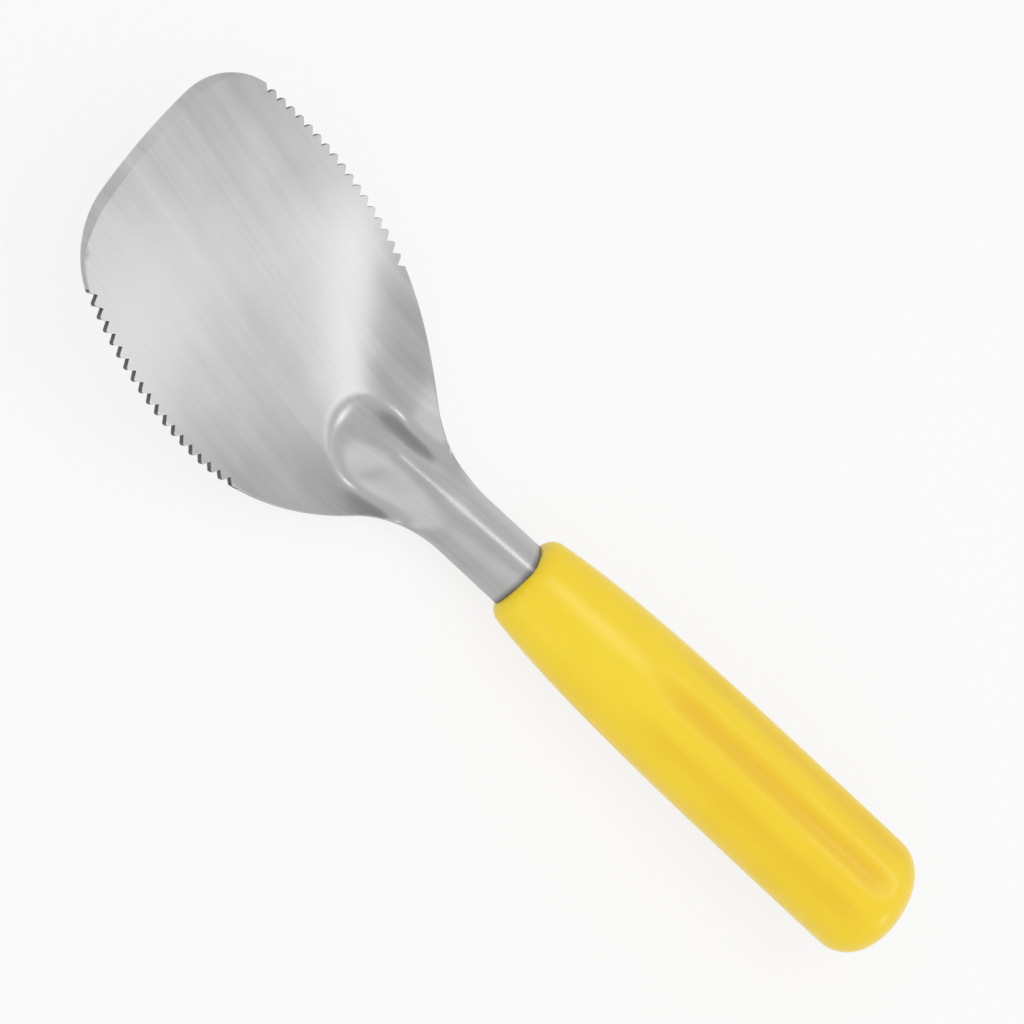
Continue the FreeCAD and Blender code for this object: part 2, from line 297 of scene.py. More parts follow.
def beside(centre, radius, angle):
    """A plan point on a circle, with the angle measured from the forward direction."""
    return centre[0] - radius * math.cos(angle), centre[1] + radius * math.sin(angle)


SIDE_CENTRE = (WIDEST_AT, BLADE_HALF_WIDTH - SIDE_RADIUS)
shoulder_turn = math.pi / 2.0 + math.asin((SHOULDER_FROM - WIDEST_AT) / SIDE_RADIUS)
SHOULDER_CENTRE = beside(SIDE_CENTRE, SIDE_RADIUS - SHOULDER_RADIUS, shoulder_turn)
neck_reach = SHOULDER_RADIUS + NECK_RADIUS
neck_drop = STEM_HALF_WIDTH + NECK_RADIUS - SHOULDER_CENTRE[1]
NECK_CENTRE = (
    SHOULDER_CENTRE[0] + math.sqrt(neck_reach ** 2 - neck_drop ** 2),
    STEM_HALF_WIDTH + NECK_RADIUS,
)
neck_turn = math.atan2(NECK_CENTRE[1] - SHOULDER_CENTRE[1], SHOULDER_CENTRE[0] - NECK_CENTRE[0])
NECK_FROM = beside(SHOULDER_CENTRE, SHOULDER_RADIUS, neck_turn)[0]
print("shoulder", SHOULDER_CENTRE, "neck", NECK_CENTRE, NECK_FROM)


def half_width(s):
    """Half the width of the blade, the stem and the tang at s, behind the rounded corner."""
    if s < SHOULDER_FROM:
        return SIDE_CENTRE[1] + math.sqrt(SIDE_RADIUS ** 2 - (s - SIDE_CENTRE[0]) ** 2)
    if s < NECK_FROM:
        return SHOULDER_CENTRE[1] + math.sqrt(SHOULDER_RADIUS ** 2 - (s - SHOULDER_CENTRE[0]) ** 2)
    if s < NECK_CENTRE[0]:
        return NECK_CENTRE[1] - math.sqrt(NECK_RADIUS ** 2 - (s - NECK_CENTRE[0]) ** 2)
    inside = max(s - STEM_START, 0.0) / (TANG_END - STEM_START)
    return STEM_HALF_WIDTH + (TANG_END_HALF_WIDTH - STEM_HALF_WIDTH) * inside


# %% [markdown]
# The press gave the sheet four forms at once: a slight camber of its edges, a dish that gets
# deeper towards the heel, the bend of the stem, and a rib. The rib starts as a round nose on
# the blade and narrows into the arch of the stem. Each form is one small function, and the
# height of the sheet is their sum.

# %% Height of the sheet's edge
EDGE_CAMBER = 0.8
EDGE_LEVEL_AT = 41.0
SHOULDER_RISE = 2.9
SHOULDER_RISE_AT = 86.0
SHOULDER_RISE_POWER = 2.6
BEND_SOFTNESS = 0.6


def smooth(t):
    """An even step from 0 to 1 with level ends."""
    t = min(max(t, 0.0), 1.0)
    return t * t * (3.0 - 2.0 * t)


def soft_max(a, b, softness):
    """The larger of two numbers, with the corner between them rounded off."""
    return max(a, b) + softness * math.log(1.0 + math.exp(-abs(a - b) / softness))


def stem_line(s):
    """Height of the stem's edges, which run straight up into the handle."""
    return STEM_RISE - (STEM_START - s) * math.tan(BEND)


def edge_height(s):
    """Height of the side edge: nearly level, then bent up along the stem."""
    run = SHOULDER_RISE_AT - EDGE_LEVEL_AT
    if s < EDGE_LEVEL_AT:
        low = EDGE_CAMBER * ((EDGE_LEVEL_AT - s) / EDGE_LEVEL_AT) ** 2
    elif s < SHOULDER_RISE_AT:
        low = SHOULDER_RISE * ((s - EDGE_LEVEL_AT) / run) ** SHOULDER_RISE_POWER
    else:
        low = SHOULDER_RISE * (1.0 + SHOULDER_RISE_POWER * (s - SHOULDER_RISE_AT) / run)
    return soft_max(low, stem_line(s), BEND_SOFTNESS)


print("edge height where the stem starts", round(edge_height(STEM_START), 2))

# %% [markdown]
# The dish hangs between the edges as a shallow parabola, and the rib stands on it: an arch whose
# height is one less the squares of the way along and the way across. Raised to a power, the
# arch gets the soft foot of the nose, and a blend turns the nose into the stem's plain arch.

# %% Dish and rib
DISH_DEPTH = 6.4
HEEL_AT = 93.0
DISH_FADE = 17.0
NOSE_LENGTH = 16.0
NOSE_HALF_WIDTH = 12.0
NOSE_POWER = 3
RIB_HEIGHT = 3.8
RIB_GROWTH = 0.115
RIB_BLEND_FROM = 99.0
RIB_BLEND = 10.0
RIB_SOFTNESS = 0.6


def dish(s):
    """How far the middle of the blade hangs below its edges."""
    deep = DISH_DEPTH * (max(s, 0.0) / HEEL_AT) ** 2
    return deep * (1.0 - smooth((s - HEEL_AT) / DISH_FADE))


def crest(s):
    """Height of the rib's crest line; inside the handle the arch flattens out."""
    arch = RIB_HEIGHT + RIB_GROWTH * (s - HEEL_AT)
    inside = smooth((s - STEM_START) / (TANG_END - STEM_START))
    return stem_line(s) + arch + (TANG_END_ARCH - arch) * inside


def sheet_height(s, y):
    """Height of the middle of the sheet above the level of the side edges."""
    middle = edge_height(s) - dish(s)
    half = half_width(s)
    rib_half = -soft_max(-NOSE_HALF_WIDTH, -half, RIB_SOFTNESS)
    along = max(HEEL_AT - s, 0.0) / NOSE_LENGTH
    arch = 1.0 - along ** 2 - (y / rib_half) ** 2
    nose = max(arch, 0.0) ** NOSE_POWER
    blend = smooth((s - RIB_BLEND_FROM) / RIB_BLEND)
    swell = nose + (arch - nose) * blend
    return middle + dish(s) * (y / half) ** 2 + swell * (crest(s) - middle)


print("heel", round(sheet_height(HEEL_AT, 0.0), 2), "stem", round(crest(STEM_START), 2))

# %% [markdown]
# The sheet has one thickness, measured square to itself. So a skin lies half of it above or
# below the middle, and a little more in height where the sheet slopes. The ground bevel is a
# plane that cuts down from the top skin, along a line that follows the curved front.

# %% Thickness and bevel
SLOPE_STEP = 0.01
BEVEL_WIDTH = 2.1
BEVEL_LAND = 0.3
BEVEL_EASE_FROM = 15.0
BEVEL_EASE = 0.019


def lifted(s, y, lift):
    """Height of a point above the middle of the sheet; the lift is square to the slope."""
    h = SLOPE_STEP
    along = (sheet_height(s + h, y) - sheet_height(s - h, y)) / (2.0 * h)
    across = (sheet_height(s, y + h) - sheet_height(s, y - h)) / (2.0 * h)
    return sheet_height(s, y) + lift * math.sqrt(1.0 + along ** 2 + across ** 2)


def bevel_line(y):
    """s of the line where the ground bevel of the front edge starts."""
    ease = max(abs(y) - BEVEL_EASE_FROM, 0.0)
    return BEVEL_WIDTH + y * y / (2.0 * FRONT_RADIUS) + BEVEL_EASE * ease ** 2


def ground_height(s, y, lift):
    """The lifted height, but never above the plane of the bevel."""
    ahead = bevel_line(y) - s
    if ahead <= 0.0:
        return lifted(s, y, lift)
    slope = (SHEET - BEVEL_LAND) / BEVEL_WIDTH
    return min(lifted(s, y, lift), lifted(bevel_line(y), y, SHEET / 2.0) - slope * ahead)


print("front edge height", round(ground_height(0.0, 0.0, SHEET / 2.0), 2))

# %% [markdown]
# ## The blank
# A stamped sheet has a long edge that is easy to get wrong: reflections run along it, so it
# needs a small round of its own. Here the outline is walked once, and each of its points knows
# which way is outwards. The skin is then a triangulated fill of the outline, with a grid of
# points inside it so that the press has something to bend. The fill works in plan only, which
# keeps it simple: the height comes afterwards, from the rule above.

# %% Walk the outline
WALK_STEP = 0.7
TOOTH_EDGE_ROUND = 0.07
SHOULDER_EDGE_ROUND = 0.36
SHOULDER_ROUND_FROM = 66.5
SHOULDER_ROUND_BLEND = 3.0


def corner_centre():
    """Centre of the corner circle, which touches the front arc and the side arc from inside."""
    a = FRONT_RADIUS - CORNER_RADIUS
    b = SIDE_RADIUS - CORNER_RADIUS
    dx = SIDE_CENTRE[0] - FRONT_RADIUS
    dy = SIDE_CENTRE[1]
    d = math.hypot(dx, dy)
    along = (a * a - b * b + d * d) / (2.0 * d)
    side = math.sqrt(a * a - along * along)
    return FRONT_RADIUS + (along * dx + side * dy) / d, (along * dy - side * dx) / d


def arc_walk(centre, radius, first, last, outwards=1.0):
    """Plan points and outward directions along an arc, without its last point."""
    count = max(int(radius * abs(last - first) / WALK_STEP), 1)
    found = []
    for i in range(count):
        angle = first + (last - first) * i / count
        away = (-outwards * math.cos(angle), outwards * math.sin(angle))
        found.append((beside(centre, radius, angle), away))
    return found


def straight_walk(first, last, away):
    """Plan points along a straight stretch, without its last point."""
    count = max(int(math.dist(first, last) / WALK_STEP), 1)
    points = [(first[0] + (last[0] - first[0]) * i / count,
               first[1] + (last[1] - first[1]) * i / count) for i in range(count)]
    return [(point, away) for point in points]


def half_outline():
    """The left half of the outline, from the middle of the front to the end of the tang."""
    corner = corner_centre()
    front_turn = math.atan2(corner[1], FRONT_RADIUS - corner[0])
    corner_turn = math.atan2(corner[1] - SIDE_CENTRE[1], SIDE_CENTRE[0] - corner[0])
    tang_edge = (TANG_END, TANG_END_HALF_WIDTH)
    walk = arc_walk((FRONT_RADIUS, 0.0), FRONT_RADIUS, 0.0, front_turn)
    walk += arc_walk(corner, CORNER_RADIUS, front_turn, corner_turn)
    walk += arc_walk(SIDE_CENTRE, SIDE_RADIUS, corner_turn, shoulder_turn)
    walk += arc_walk(SHOULDER_CENTRE, SHOULDER_RADIUS, shoulder_turn, neck_turn)
    walk += arc_walk(NECK_CENTRE, NECK_RADIUS, neck_turn - math.pi, -math.pi / 2.0, -1.0)
    walk += straight_walk((NECK_CENTRE[0], STEM_HALF_WIDTH), (STEM_START, STEM_HALF_WIDTH), (0, 1))
    walk += straight_walk((STEM_START, STEM_HALF_WIDTH), tang_edge, (0, 1))
    walk.append((tang_edge, (1, 1)))
    return walk


left = half_outline()
right = [((s, -y), (away[0], -away[1])) for (s, y), away in reversed(left[1:])]
outline = left + [((TANG_END, 0.0), (1, 0))] + right
print("outline points", len(outline))

# %% [markdown]
# Inside the outline the points lie on an even grid that narrows with the blade. Grid points
# that come too near an edge are left out, because they would make slivers that show in a
# reflection. The line of the bevel gets points of its own, so that its crease stays straight.

# %% Points for the fill
GRID_STEP = 0.8
CLEAR_OF_EDGE = 0.45
CLEAR_OF_BEVEL = 0.3


def edge_round(s):
    """Radius of the small round along the edge: crisp at the teeth, softer on the shoulders."""
    share = smooth((s - SHOULDER_ROUND_FROM) / SHOULDER_ROUND_BLEND)
    return TOOTH_EDGE_ROUND + (SHOULDER_EDGE_ROUND - TOOTH_EDGE_ROUND) * share


def ring(inset_share, lift_sign, drop_share):
    """The outline moved inwards and down by shares of its edge round, as plan points and lifts."""
    found = []
    for (s, y), away in outline:
        r = edge_round(s)
        point = (s - away[0] * r * inset_share, y - away[1] * r * inset_share)
        found.append((point, lift_sign * (SHEET / 2.0 - r * drop_share)))
    return found


def half_span(s):
    """Half the width of the whole outline at s, with the rounded corner at the front."""
    corner = corner_centre()
    front_turn = math.atan2(corner[1], FRONT_RADIUS - corner[0])
    if s < beside(corner, CORNER_RADIUS, front_turn)[0]:
        return math.sqrt(FRONT_RADIUS ** 2 - (FRONT_RADIUS - s) ** 2)
    if s < corner[0]:
        return min(corner[1] + math.sqrt(CORNER_RADIUS ** 2 - (corner[0] - s) ** 2), half_width(s))
    return half_width(s)


def inner_points():
    """An even grid of points inside the outline, clear of its edge and of the bevel line."""
    found = []
    rows = int(TANG_END / GRID_STEP)
    for row in range(1, rows):
        s = TANG_END * row / rows
        reach = half_span(s) - edge_round(s) - CLEAR_OF_EDGE
        columns = max(int(2.0 * reach / GRID_STEP), 2)
        for column in range(columns + 1):
            y = reach * (2.0 * column / columns - 1.0)
            from_front = FRONT_RADIUS - math.hypot(FRONT_RADIUS - s, y)
            if from_front > CLEAR_OF_EDGE and abs(bevel_line(y) - s) > CLEAR_OF_BEVEL:
                found.append((s, y))
    return found


def bevel_points():
    """Points of the bevel line that lie inside the outline, from right to left."""
    count = int(BLADE_HALF_WIDTH / WALK_STEP)
    line = [BLADE_HALF_WIDTH * i / count for i in range(-count, count + 1)]
    corner = corner_centre()
    found = []
    for y in line:
        s = bevel_line(y)
        beyond = abs(y) > corner[1]
        depth = CORNER_RADIUS - math.hypot(s - corner[0], abs(y) - corner[1])
        if not beyond or depth > CLEAR_OF_EDGE:
            found.append((s, y))
    return found


rim = [point for point, lift in ring(1.0, 1.0, 0.0)]
bevel = bevel_points()
cloud = rim + bevel + inner_points()
print("points for the fill", len(cloud))

# %% [markdown]
# The fill is a constrained triangulation: it keeps every edge of the outline and of the
# bevel's line, and joins all the other points with triangles that are as even as can be.

# %% Fill the outline
INSIDE_ONLY = 1
CLOSE = 1e-5

loop_edges = [(i, (i + 1) % len(rim)) for i in range(len(rim))]
bevel_edges = [(len(rim) + i, len(rim) + i + 1) for i in range(len(bevel) - 1)]
filled = delaunay_2d_cdt(
    [Vector(point) for point in cloud], loop_edges + bevel_edges, [], INSIDE_ONLY, CLOSE
)
plan_points = [tuple(v) for v in filled[0]]
plan_faces = [tuple(face) for face in filled[2]]
place_of = {given: i for i, source in enumerate(filled[3]) for given in source}
print("skin points", len(plan_points), "triangles", len(plan_faces))

# %% [markdown]
# ## From blank to solid
# The top and the underside are the same fill at two heights. Between them the edge is a few
# rings: a quarter round, the wall and another quarter round. Everything is tipped to the rest
# pose at the end, by one turn and one shift. The shift isn't guessed: it puts the front edge
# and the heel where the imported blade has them.

# %% The pressed blank
TILT = math.radians(19.12)
ROUND_STEPS = 6
DOUBLED = 1e-7


def tipped(point):
    """A drawing point, x forward, turned to the rest pose and written in metres."""
    x, y, z = point
    return Vector((
        (x * math.cos(TILT) - z * math.sin(TILT)) * MM,
        y * MM,
        (x * math.sin(TILT) + z * math.cos(TILT)) * MM,
    ))


def edge_rings():
    """The rings from the top skin's rim down to the underside's rim."""
    quarter = [math.pi / 2.0 * i / ROUND_STEPS for i in range(1, ROUND_STEPS + 1)]
    down = [ring(1.0 - math.sin(a), 1.0, 1.0 - math.cos(a)) for a in quarter]
    up = [ring(1.0 - math.sin(a), -1.0, 1.0 - math.cos(a)) for a in reversed(quarter)]
    return down + up


points = [tipped((-s, y, ground_height(s, y, SHEET / 2.0))) for s, y in plan_points]
points += [tipped((-s, y, lifted(s, y, -SHEET / 2.0))) for s, y in plan_points]
under = len(plan_points)
faces = list(plan_faces)
faces += [tuple(under + i for i in reversed(face)) for face in plan_faces]
previous = [place_of[i] for i in range(len(rim))]
for around in edge_rings():
    start = len(points)
    points += [tipped((-s, y, ground_height(s, y, lift))) for (s, y), lift in around]
    current = list(range(start, start + len(around)))
    faces += [
        (previous[i], current[i], current[i - 1], previous[i - 1]) for i in range(len(around))
    ]
    previous = current
last = [under + place_of[i] for i in range(len(rim))]
faces += [(previous[i], last[i], last[i - 1], previous[i - 1]) for i in range(len(rim))]

low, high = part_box("blade")
shift = Vector((high[0] - max(p.x for p in points), 0.0, low[2] - min(p.z for p in points)))
blade_mesh = bpy.data.meshes.new("blade_blank")
blade_mesh.from_pydata([p + shift for p in points], [], faces)


def face_outwards(mesh):
    """Closes doubled points and turns every face outwards; says how many edges stay open."""
    work = bmesh.new()
    work.from_mesh(mesh)
    bmesh.ops.remove_doubles(work, verts=work.verts, dist=DOUBLED)
    bmesh.ops.recalc_face_normals(work, faces=work.faces)
    open_edges = sum(1 for edge in work.edges if not edge.is_manifold)
    volume = work.calc_volume(signed=True)
    work.to_mesh(mesh)
    work.free()
    return open_edges, volume


blank = link_object("blade_blank", blade_mesh)
print("blank: open edges and volume", face_outwards(blade_mesh), "shift", shift)

# %% [markdown]
# ## A recipe for a mesh
# Geometry Nodes suit what repeats and what follows a rule. Sizes come in through named inputs,
# which a person can still turn in the modifier panel. The finished tree is run once and its
# result kept as a plain mesh, because that is what can be measured.

# %% A recipe with named inputs


class Recipe(Wiring):
    """A geometry node tree with named inputs, whose result becomes a plain mesh."""

    def __init__(self, name):
        super().__init__(bpy.data.node_groups.new(name, "GeometryNodeTree"))
        for side in ("INPUT", "OUTPUT"):
            self.tree.interface.new_socket("Geometry", in_out=side, socket_type="NodeSocketGeometry")
        self.inside = self.tree.nodes.new("NodeGroupInput")
        self.settings = {}

    def size(self, name, value, kind="NodeSocketFloat"):
        """A named input with its value for this object."""
        socket = self.tree.interface.new_socket(name, in_out="INPUT", socket_type=kind)
        self.settings[socket.identifier] = value
        return self.inside.outputs[name]

    def finish(self, geometry, material):
        """Realize Instances and Set Material, then the tree's output."""
        real = self.add("GeometryNodeRealizeInstances", {"Geometry": geometry})
        painted = self.add(
            "GeometryNodeSetMaterial", {"Geometry": real.outputs[0], "Material": material}
        )
        out = self.tree.nodes.new("NodeGroupOutput")
        self.tree.links.new(painted.outputs[0], out.inputs[0])

    def made_on(self, thing, name):
        """Runs the tree on an object and gives the result as a plain mesh in a new object."""
        modifier = thing.modifiers.new(name, "NODES")
        modifier.node_group = self.tree
        for identifier, value in self.settings.items():
            modifier[identifier] = value
        shown = thing.evaluated_get(bpy.context.evaluated_depsgraph_get())
        mesh = bpy.data.meshes.new_from_object(shown)
        thing.modifiers.remove(modifier)
        mesh.name = name
        return link_object(name, mesh)


# %% [markdown]
# ## Finishes
# A finish is a few layers of noise. One drives the tone, one the roughness and one a very low
# relief, and all read Object coordinates, so that a pattern has a real size in metres.

# %% Helpers for finishes
EVENLY = (1.0, 1.0, 1.0)
UNTURNED = (0.0, 0.0, 0.0)


def noise(w, coordinates, scale, detail=3.0, roughness=0.6):
    """A noise texture on some coordinates."""
    inputs = {"Vector": coordinates, "Scale": scale, "Detail": detail, "Roughness": roughness}
    return w.add("ShaderNodeTexNoise", inputs).outputs["Fac"]


def mapped(w, scale=EVENLY, rotation=UNTURNED):
    """Object coordinates in metres, turned and stretched."""
    source = w.add("ShaderNodeTexCoord").outputs["Object"]
    turned = w.add("ShaderNodeMapping", vector_type="TEXTURE")
    turned.inputs["Rotation"].default_value = rotation
    w.join(source, turned.inputs["Vector"])
    stretched = w.add("ShaderNodeMapping", {"Scale": scale, "Vector": turned.outputs[0]})
    return stretched.outputs[0]


def bumped(w, shader, value, strength, distance):
    """Small relief from a value, on the shader's normal."""
    bump = w.add("ShaderNodeBump", {"Strength": strength, "Distance": distance, "Height": value})
    w.join(bump.outputs["Normal"], shader.inputs["Normal"])


# %% [markdown]
# ## Brushed steel
# The sheet was brushed along its length before it was pressed. Brushing does two things to a
# reflection: it smears it across the strokes, and it leaves faint long streaks. Both come from
# noise that is stretched along the blade. A Mapping node first turns the pattern by the
# sheet's tilt, so that the strokes lie in the sheet instead of cutting through it. Where the
# stem enters the handle, a narrow dark line of painted shade stands in for the shadow there.

# %% Brushed steel
STEEL_DARK = (0.40, 0.40, 0.399, 1.0)
STEEL_PALE = (0.56, 0.56, 0.558, 1.0)
# Painted shade: a dark line on the stem where it meets the handle, in place of the shadow there.
STEEL_JOINT_SHADE = (0.13, 0.125, 0.12, 1.0)
JOINT_SHADE_REACH = 1.6
STROKES_ALONG = 9.0
STROKES_ACROSS = 900.0
BROAD_ACROSS = 130.0
SMUDGE_SCALE = 38.0
FINE_SHARE = 0.45
SMUDGE_SHARE = 0.8
TONE_SPAN = (0.80, 1.45)
STEEL_ROUGHNESS = (0.26, 0.35)
STEEL_RELIEF = 0.03
STEEL_RELIEF_HEIGHT = 0.00003


def clear_of_joint_shade(w):
    """Mask of the painted shade: 0 where the stem enters the handle, 1 a little way in front of it.
    """
    source = w.add("ShaderNodeTexCoord").outputs["Object"]
    joint = tipped((-STEM_START, 0.0, STEM_RISE)) + shift
    forward = tipped((math.cos(BEND), 0.0, -math.sin(BEND))) / MM
    from_joint = w.vector("SUBTRACT", source, joint)
    along = w.add("ShaderNodeVectorMath", {0: from_joint, 1: forward}, operation="DOT_PRODUCT")
    return w.step(along.outputs["Value"], 0.0, JOINT_SHADE_REACH * MM)


def brushed_steel():
    """Streaks along the blade, smudges over them and painted shade where the stem meets the handle.
    """
    material, w, shader = principled("brushed_steel", STEEL_PALE, roughness=0.3, metallic=1.0)
    lie = (0.0, -TILT, 0.0)
    fine = noise(w, mapped(w, (STROKES_ALONG, STROKES_ACROSS, STROKES_ALONG), lie), 1.0)
    broad = noise(w, mapped(w, (STROKES_ALONG, BROAD_ACROSS, STROKES_ALONG), lie), 1.0)
    smudge = noise(w, mapped(w, EVENLY, lie), SMUDGE_SCALE)
    streaks = w.plus(broad, fine, FINE_SHARE)
    tone = w.plus(streaks, smudge, SMUDGE_SHARE)
    brushed = w.mix(STEEL_DARK, STEEL_PALE, w.step(tone, *TONE_SPAN))
    # Painted shade darkens the stem's colour just in front of the handle.
    w.join(w.mix(STEEL_JOINT_SHADE, brushed, clear_of_joint_shade(w)), shader.inputs["Base Color"])
    w.join(w.ranged(tone, *STEEL_ROUGHNESS, *TONE_SPAN), shader.inputs["Roughness"])
    bumped(w, shader, streaks, STEEL_RELIEF, STEEL_RELIEF_HEIGHT)
    return material


steel = brushed_steel()
print("steel nodes", len(steel.node_tree.nodes))

# %% [markdown]
# ## Sheared steel
# A punch leaves a wall that is torn, not brushed. It scatters light in every direction and
# looks much darker than the face beside it, so it is a steel of its own, with a fine grain.

# %% Sheared steel
SHEAR_SCALE = 2600.0
SHEAR_LIGHT = (0.19, 0.188, 0.186, 1.0)
SHEAR_DEEP = (0.09, 0.089, 0.088, 1.0)
GRAIN_SPAN = (0.35, 0.65)
SHEAR_ROUGHNESS = (0.40, 0.60)
SHEAR_RELIEF = 0.3
SHEAR_RELIEF_HEIGHT = 0.00005


def sheared_steel():
    """The walls that the punch left: torn, dull and darker than the brushed face."""
    material, w, shader = principled("sheared_steel", SHEAR_LIGHT, roughness=0.5, metallic=1.0)
    grain = noise(w, mapped(w), SHEAR_SCALE)
    w.join(w.mix(SHEAR_DEEP, SHEAR_LIGHT, w.step(grain, *GRAIN_SPAN)), shader.inputs["Base Color"])
    w.join(w.ranged(grain, *SHEAR_ROUGHNESS, *GRAIN_SPAN), shader.inputs["Roughness"])
    bumped(w, shader, grain, SHEAR_RELIEF, SHEAR_RELIEF_HEIGHT)
    return material


sheared = sheared_steel()
print("sheared steel nodes", len(sheared.node_tree.nodes))

# %% [markdown]
# ## The toothed edges
# The eighteen teeth on each side are eighteen equal bites. So a node tree lays one bite, a
# small prism with a rounded point, at even steps along the edge, and one Boolean takes them
# all out of the blank. The path of the bites is a curve that runs from the first gullet to the
# last.

# %% The path of the teeth
TOOTH_COUNT = 18
TOOTH_FIRST = 14.5
TOOTH_PITCH = 3.13
PATH_STEP = 0.25


def edge_path():
    """Plan points of the left edge from the first gullet on, in small even steps."""
    found = [(TOOTH_FIRST, half_width(TOOTH_FIRST))]
    count = int(TOOTH_COUNT * TOOTH_PITCH / PATH_STEP)
    for _ in range(count):
        s, y = found[-1]
        slope = (half_width(s + SLOPE_STEP) - half_width(s - SLOPE_STEP)) / (2.0 * SLOPE_STEP)
        s = s + PATH_STEP / math.hypot(1.0, slope)
        found.append((s, half_width(s)))
    return found


path_points = edge_path()
path_data = bpy.data.curves.new("edge_path", "CURVE")
path_data.dimensions = "3D"
spline = path_data.splines.new("POLY")
spline.points.add(len(path_points) - 1)
for point, (s, y) in zip(spline.points, path_points):
    point.co = (-s * MM, y * MM, 0.0, 1.0)
path = link_object("edge_path", path_data)
print("path length mm", round(PATH_STEP * (len(path_points) - 1), 2))

# %% [markdown]
# One bite is a triangle with a rounded point, drawn as a closed curve, filled and pulled up
# into a prism. It reaches past the edge of the blank, so that the cut is clean, and far above
# and below it, so that one prism fits the edge wherever the press has put it.

# %% One bite
TOOTH_DEPTH = 1.75
TOOTH_REAR_SHARE = 0.56
TOOTH_TIP_LAND = 0.14
GULLET_ROUND = 0.24
GULLET_STEPS = 4
BITE_REACH = 0.7
BITE_PEAK = 1.3
BITE_HEIGHT = 20.0


def bite_prism(r, pitch):
    """The prism of one bite, which points inwards and has its height centred on the plan."""
    depth = r.size("Tooth depth", TOOTH_DEPTH * MM)
    land = r.size("Tip land", TOOTH_TIP_LAND * MM)
    rear = r.size("Rear share", TOOTH_REAR_SHARE)
    gullet = r.size("Gullet round", GULLET_ROUND * MM)
    height = r.size("Bite height", BITE_HEIGHT * MM)

    mouth = r.math("SUBTRACT", pitch, land)
    over = 1.0 + BITE_REACH
    ahead = r.math("MULTIPLY", r.math("MULTIPLY", mouth, rear), over)
    behind = r.math("MULTIPLY", mouth, r.math("SUBTRACT", 1.0, rear))
    behind = r.math("MULTIPLY", behind, over)
    out = r.math("MULTIPLY", depth, BITE_REACH)
    corners = (
        (ahead, out),
        (0.0, r.math("MULTIPLY", depth, -1.0)),
        (r.math("MULTIPLY", behind, -1.0), out),
        (0.0, r.math("MULTIPLY", out, BITE_PEAK)),
    )
    shape = r.add("GeometryNodeCurvePrimitiveQuadrilateral", mode="POINTS")
    for number, (x, y) in enumerate(corners, 1):
        corner = r.add("ShaderNodeCombineXYZ", {"X": x, "Y": y})
        r.join(corner.outputs[0], shape.inputs["Point %d" % number])
    rounded = r.add("GeometryNodeFilletCurve", {
        "Curve": shape.outputs[0], "Radius": gullet, "Limit Radius": True,
        "Count": GULLET_STEPS}, mode="POLY")
    face = r.add("GeometryNodeFillCurve", {"Curve": rounded.outputs[0]}, mode="NGONS")
    raised = r.add("GeometryNodeExtrudeMesh", {
        "Mesh": face.outputs[0], "Offset": (0.0, 0.0, 1.0), "Offset Scale": height,
        "Individual": False}, mode="FACES")
    base = r.add("GeometryNodeFlipFaces", {"Mesh": face.outputs[0]})
    both = r.add("GeometryNodeJoinGeometry")
    r.join(raised.outputs["Mesh"], both.inputs[0])
    r.join(base.outputs[0], both.inputs[0])
    prism = r.add("GeometryNodeMergeByDistance", {"Geometry": both.outputs[0]})
    down = r.add("ShaderNodeCombineXYZ", {"Z": r.math("MULTIPLY", height, -0.5)})
    lowered = r.add("GeometryNodeTransform", {
        "Geometry": prism.outputs[0], "Translation": down.outputs[0]})
    return lowered.outputs[0]


# %% [markdown]
# Each bite is turned to face along the edge where it stands. The right side is a mirror of the
# left one, and a mirrored prism is inside out, so its faces are flipped before the Boolean sees
# them. The bites are laid in plan and then tipped with the sheet.

# %% All the bites


def laid_bites(r, prism, count, pitch):
    """The bites at even steps along both edges, in plan."""
    way = r.size("Edge path", path, "NodeSocketObject")
    info = r.add("GeometryNodeObjectInfo", {"Object": way})
    trimmed = r.add("GeometryNodeTrimCurve", {"Curve": info.outputs["Geometry"]}, mode="LENGTH")
    run = r.math("MULTIPLY", r.math("SUBTRACT", count, 1.0), pitch)
    start_length, end_length = trimmed.inputs[4], trimmed.inputs[5]
    r.join(0.0, start_length)
    r.join(run, end_length)
    stops = r.add("GeometryNodeResampleCurve", {"Curve": trimmed.outputs[0], "Count": count})
    tangent = r.add("GeometryNodeInputTangent")
    backward = r.vector("SCALE", tangent.outputs[0], -1.0)
    facing = r.add("FunctionNodeAlignRotationToVector", {"Vector": backward},
                   axis="X", pivot_axis="Z")
    bites = r.add("GeometryNodeInstanceOnPoints", {
        "Points": stops.outputs[0], "Instance": prism, "Rotation": facing.outputs[0]})
    left_side = r.add("GeometryNodeRealizeInstances", {"Geometry": bites.outputs[0]})
    mirrored = r.add("GeometryNodeTransform", {
        "Geometry": left_side.outputs[0], "Scale": (1.0, -1.0, 1.0)})
    right_side = r.add("GeometryNodeFlipFaces", {"Mesh": mirrored.outputs[0]})
    all_bites = r.add("GeometryNodeJoinGeometry")
    r.join(left_side.outputs[0], all_bites.inputs[0])
    r.join(right_side.outputs[0], all_bites.inputs[0])
    return all_bites.outputs[0]


def tooth_recipe():
    """Lays the bites along both edges and takes them out of the blank."""
    r = Recipe("toothed_edge")
    count = r.size("Tooth count", TOOTH_COUNT, "NodeSocketInt")
    pitch = r.size("Tooth pitch", TOOTH_PITCH * MM)
    tilt = r.size("Tilt", TILT)
    move = r.size("Move", tuple(shift), "NodeSocketVector")
    bites = laid_bites(r, bite_prism(r, pitch), count, pitch)
    lean = r.add("ShaderNodeCombineXYZ", {"Y": r.math("MULTIPLY", tilt, -1.0)})
    turned = r.add("GeometryNodeTransform", {
        "Geometry": bites, "Translation": move, "Rotation": lean.outputs[0]})
    cut = r.add("GeometryNodeMeshBoolean", {
        "Mesh 1": r.inside.outputs[0], "Mesh 2": turned.outputs[0]},
        operation="DIFFERENCE", solver="MANIFOLD")
    r.finish(cut.outputs["Mesh"], steel)
    return r


